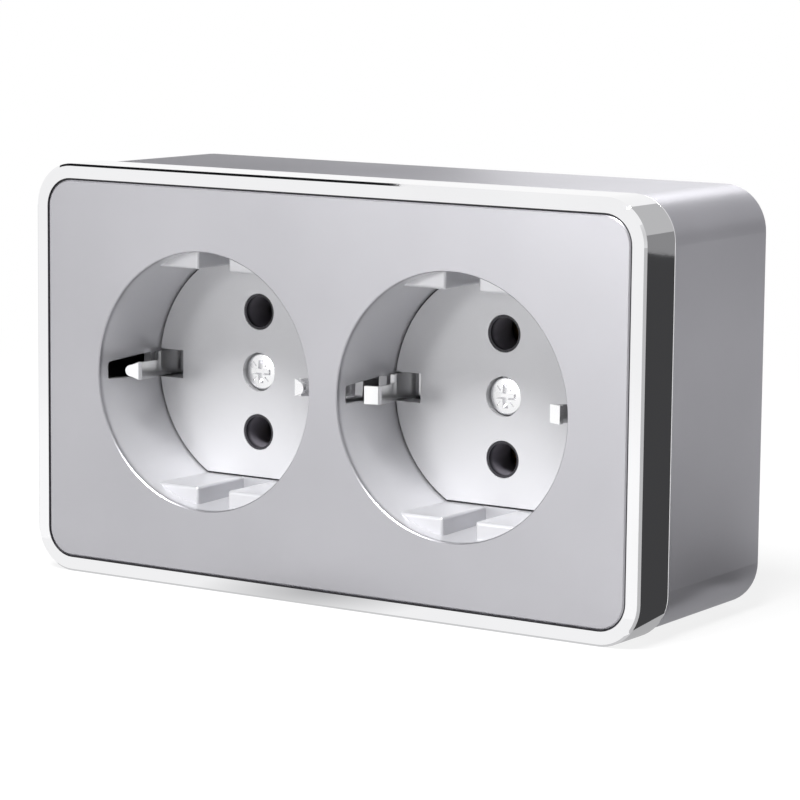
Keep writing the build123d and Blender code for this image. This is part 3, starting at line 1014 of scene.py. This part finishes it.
LIGHTS: tuple[Softbox, ...] = (
    Softbox(
        "top_softbox", place=(0.05, -0.68, 1.08), aim=(0.0, -0.03, 0.0), width=0.6, height=0.45,
        power=33.0),
    Softbox(
        "front_softbox", place=(-0.445, -1.20, 0.15), aim=(0.0, -0.03, 0.0), width=0.25, height=0.25,
        power=3.0),
    Softbox(
        "back_softbox", place=(-0.17, 0.97, 0.95), aim=(0.0, -0.02, 0.0), width=0.5, height=0.5,
        power=3.0),
)

# Cards seen only in reflections; the grey strips at the socket's foot and front are painted shadow of the
# floor.
CARDS: tuple[ShadeCard, ...] = (
    ShadeCard.strip(
        "dark_strip_right", start=(0.070, -0.006), stop=(0.333, 0.461), widths=(0.03, 0.08),
        level=-0.0316, colour=(0.054, 0.054, 0.056)),
    ShadeCard.flat(
        "dark_strip_foot",
        outline=((0.0533, -0.0335), (0.0780, -0.0015), (0.0720, 0.0130), (0.0585, -0.0102)),
        level=-0.0320, colour=(0.054, 0.054, 0.056)),
    # Painted shadow: grey strip at the right foot, so reflections show the floor there in shadow.
    ShadeCard.flat(
        "painted_shadow_foot",
        outline=((0.040, -0.0366), (0.0535, -0.0366), (0.078, 0.040), (0.040, 0.040)),
        level=-0.0321, colour=(0.45, 0.45, 0.455)),
    # Painted shadow: grey soft spot on a white strip in front of the socket, so reflections show the floor
    # there in shadow.
    ShadeCard.strip(
        "painted_shadow_front", start=(-0.07, -0.0470), stop=(0.06, -0.0470), widths=(0.019, 0.019),
        level=-0.0322, colour=WHITE,
        spot=SoftSpot(colour=(0.48, 0.48, 0.485), centre=(-0.007, -0.0470, -0.0322), reach=0.020)),
    # Painted shadow: grey strip from the frame's front right corner, so reflections show the floor at the
    # contact edge in shadow.
    ShadeCard.strip(
        "painted_shadow_edge", start=(0.0545, -0.0368), stop=(0.62, -0.3532), widths=(0.0016, 0.14),
        level=-0.0321, colour=(0.55, 0.55, 0.555)),
    ShadeCard.strip(
        "pale_strip_left", start=(-0.075, -0.0175), stop=(-0.62, 0.428), widths=(0.03, 0.14),
        level=-0.0321, colour=(0.74, 0.74, 0.745)),
    # Painted shadow: thin grey strip under the frame's front bottom edge, so reflections show the contact
    # shadow there.
    ShadeCard.strip(
        "painted_shadow_under", start=(-0.06, -0.0367), stop=(0.06, -0.0367), widths=(0.0014, 0.0014),
        level=-0.03223, colour=(0.66, 0.66, 0.665)),
    ShadeCard.standing(
        "grey_card_low", start=(0.08, 0.395), stop=(0.60, 0.53), low=(-0.0322, -0.0322), high=0.115,
        colour=(0.275, 0.275, 0.28)),
    ShadeCard.standing(
        "grey_card_high", start=(-0.05, 0.965), stop=(0.75, 0.69), low=(0.14, 0.14), high=1.14,
        colour=(0.53, 0.53, 0.535)),
    ShadeCard.standing(
        "dark_card_left", start=(-0.12, 0.005), stop=(-0.12, 0.200), low=(0.041, 0.060), high=0.34,
        colour=(0.02, 0.02, 0.021)),
    ShadeCard.standing(
        "grey_card_front", start=(-0.25, -1.50), stop=(1.50, -0.25), low=(-0.032, -0.032), high=0.75,
        colour=(0.80, 0.80, 0.805),
        spot=SoftSpot(colour=(0.36, 0.36, 0.365), centre=(0.65, -0.85, 0.28), reach=0.55)),
    ShadeCard.strip(
        "dark_card_above", start=(-0.86, -0.80), stop=(-0.86, 0.50), widths=(0.76, 0.76),
        level=0.78, colour=(0.01, 0.01, 0.011)),
)


@dataclass
class Studio:
    """Pale floor, white surroundings, soft lights and shade cards."""

    floor_z: float
    ambient: float = 0.12
    floor_span: float = 40.0
    floor_colour: Colour = (0.72, 0.72, 0.72)
    floor_roughness: float = 0.9
    shadow_share: float = 0.16
    shadow_reach: float = 0.32
    shadow_core: float = 0.5

    def build(self) -> None:
        """Create the floor, the surroundings, the lights and the cards."""
        self._floor()
        self._surroundings()
        for light in LIGHTS:
            light.build()
        for card in CARDS:
            card.build()

    def _seen(self, tree: bpy.types.NodeTree) -> bpy.types.NodeSocket:
        """Mask the rays that look at the stage: camera, glossy and transmission.

        Args:
            tree: Node tree that receives the mask.

        Returns:
            Socket that is 1 for these rays and 0 for others.
        """
        path = add_node(tree, "ShaderNodeLightPath")
        first = add_node(tree, "ShaderNodeMath", operation="ADD")
        both = add_node(tree, "ShaderNodeMath", operation="ADD", use_clamp=True)
        link(tree, path.outputs["Is Camera Ray"], first.inputs[0])
        link(tree, path.outputs["Is Glossy Ray"], first.inputs[1])
        link(tree, first.outputs["Value"], both.inputs[0])
        link(tree, path.outputs["Is Transmission Ray"], both.inputs[1])
        return both.outputs["Value"]

    def _floor(self) -> None:
        """Create the pale floor, which keeps a faint shadow round the socket."""
        mesh = bpy.data.meshes.new("studio_floor")
        half = self.floor_span / 2
        corners = [(-half, -half, 0), (half, -half, 0), (half, half, 0), (-half, half, 0)]
        mesh.from_pydata(corners, [], [(0, 1, 2, 3)])
        floor = bpy.data.objects.new("studio_floor", mesh)
        floor.location.z = self.floor_z
        material = bpy.data.materials.new("studio_floor")
        material.use_nodes = True
        tree = material.node_tree
        shader = tree.nodes["Principled BSDF"]
        shader.inputs["Base Color"].default_value = opaque(self.floor_colour)
        shader.inputs["Roughness"].default_value = self.floor_roughness
        shader.inputs["Specular IOR Level"].default_value = 0.0
        glow = add_node(tree, "ShaderNodeEmission")
        pale = add_node(tree, "ShaderNodeMixShader")
        place = add_node(tree, "ShaderNodeTexCoord")
        away = add_node(tree, "ShaderNodeVectorMath", operation="LENGTH")
        limits = {"From Min": self.shadow_core * self.shadow_reach, "From Max": self.shadow_reach,
                  "To Min": 1.0 - self.shadow_share, "To Max": 1.0}
        fade = add_node(tree, "ShaderNodeMapRange", limits, interpolation_type="SMOOTHSTEP")
        share = add_node(tree, "ShaderNodeMath", operation="MULTIPLY")
        link(tree, place.outputs["Object"], away.inputs[0])
        link(tree, away.outputs["Value"], fade.inputs["Value"])
        link(tree, fade.outputs["Result"], share.inputs[1])
        link(tree, self._seen(tree), share.inputs[0])
        link(tree, share.outputs["Value"], pale.inputs["Fac"])
        link(tree, shader.outputs["BSDF"], pale.inputs[1])
        link(tree, glow.outputs["Emission"], pale.inputs[2])
        link(tree, pale.outputs["Shader"], tree.nodes["Material Output"].inputs["Surface"])
        mesh.materials.append(material)
        bpy.context.scene.collection.objects.link(floor)
        floor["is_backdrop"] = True

    def _surroundings(self) -> None:
        """Make the surroundings white to the eye and softer as a light."""
        world = bpy.data.worlds.new("studio")
        world.use_nodes = True
        tree = world.node_tree
        fill = tree.nodes["Background"]
        fill.inputs["Color"].default_value = opaque(WHITE)
        fill.inputs["Strength"].default_value = self.ambient
        white = add_node(tree, "ShaderNodeBackground", {"Color": opaque(WHITE)})
        mix = add_node(tree, "ShaderNodeMixShader")
        link(tree, self._seen(tree), mix.inputs["Fac"])
        link(tree, fill.outputs["Background"], mix.inputs[1])
        link(tree, white.outputs["Background"], mix.inputs[2])
        link(tree, mix.outputs["Shader"], tree.nodes["World Output"].inputs["Surface"])
        bpy.context.scene.world = world


@dataclass
class SizeNote:
    """Keeps the box of the solids."""

    solids: list[list[float]] = field(default_factory=list)

    def start(self) -> None:
        """Keep the box of the solids."""
        self.solids = [list(corner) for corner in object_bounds()]

    def write(self) -> None:
        """Does nothing."""


def main() -> None:
    """Dress the socket and set up the studio round it."""
    logging.basicConfig(level=logging.INFO, format="%(name)s: %(message)s")
    sizes = SizeNote()
    sizes.start()
    ViewCamera().build()
    effects = SharedEffects()
    effects.build()
    shop = FinishShop(effects)
    shop.build()
    named = {entry["node"]: Slot(entry["material_slot"]) for entry in frame["record"]["subparts"]}
    SolidSet(named).dress(shop)
    # Black strips in the joints of the front are painted shade.
    FrontGapShades().build(shop)
    FrameBead().build(shop)
    for side in Side:
        CentreScrew(side).build(shop)
    Studio(floor_z=sizes.solids[0][2]).build()
    bpy.context.scene.view_settings.view_transform = "Standard"
    sizes.write()


if __name__ == "__main__":
    main()
